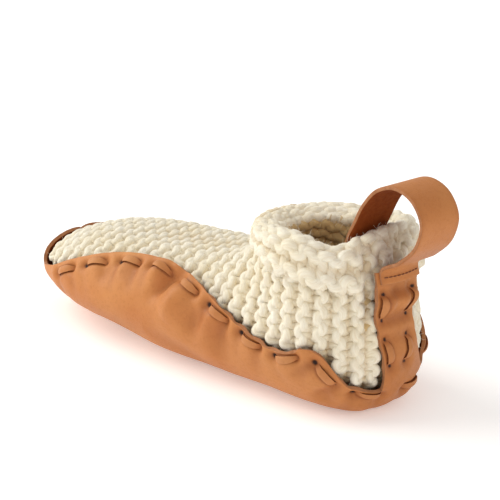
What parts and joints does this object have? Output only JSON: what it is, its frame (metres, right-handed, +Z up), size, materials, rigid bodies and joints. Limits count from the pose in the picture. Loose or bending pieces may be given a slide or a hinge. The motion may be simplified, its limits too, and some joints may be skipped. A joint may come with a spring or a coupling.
{
  "type": "house slipper",
  "caption": "Knitted wool house slipper in a leather wrap sole, with a laced edge, a folded cuff, a heel tab and a pull loop",
  "frame": {"origin": "on the floor, under the centre of the heel", "axes": "+X towards the toe, +Y to the wearer's left, +Z up"},
  "size_m": [0.2779, 0.0997, 0.1196],
  "materials": {
    "cream_wool": "matte chunky knit",
    "tan_leather": "satin",
    "brown_leather": "matte"
  },
  "bodies": {
    "root": {"knit_upper": "cream_wool", "collar_cuff": "cream_wool", "leather_sole": "tan_leather", "insole": "brown_leather", "pull_loop": "tan_leather", "lace_left_01": "tan_leather", "lace_left_02": "tan_leather", "lace_left_03": "tan_leather", "lace_left_04": "tan_leather", "lace_left_05": "tan_leather", "lace_left_06": "tan_leather", "lace_left_07": "tan_leather", "lace_left_08": "tan_leather", "lace_left_09": "tan_leather", "lace_left_10": "tan_leather", "lace_left_11": "tan_leather", "lace_left_12": "tan_leather", "lace_right_01": "tan_leather", "lace_right_02": "tan_leather", "lace_right_03": "tan_leather", "lace_right_04": "tan_leather", "lace_right_05": "tan_leather", "lace_right_06": "tan_leather", "lace_right_07": "tan_leather", "lace_right_08": "tan_leather", "lace_right_09": "tan_leather", "lace_right_10": "tan_leather", "lace_right_11": "tan_leather", "lace_right_12": "tan_leather"}
  },
  "joints": []
}
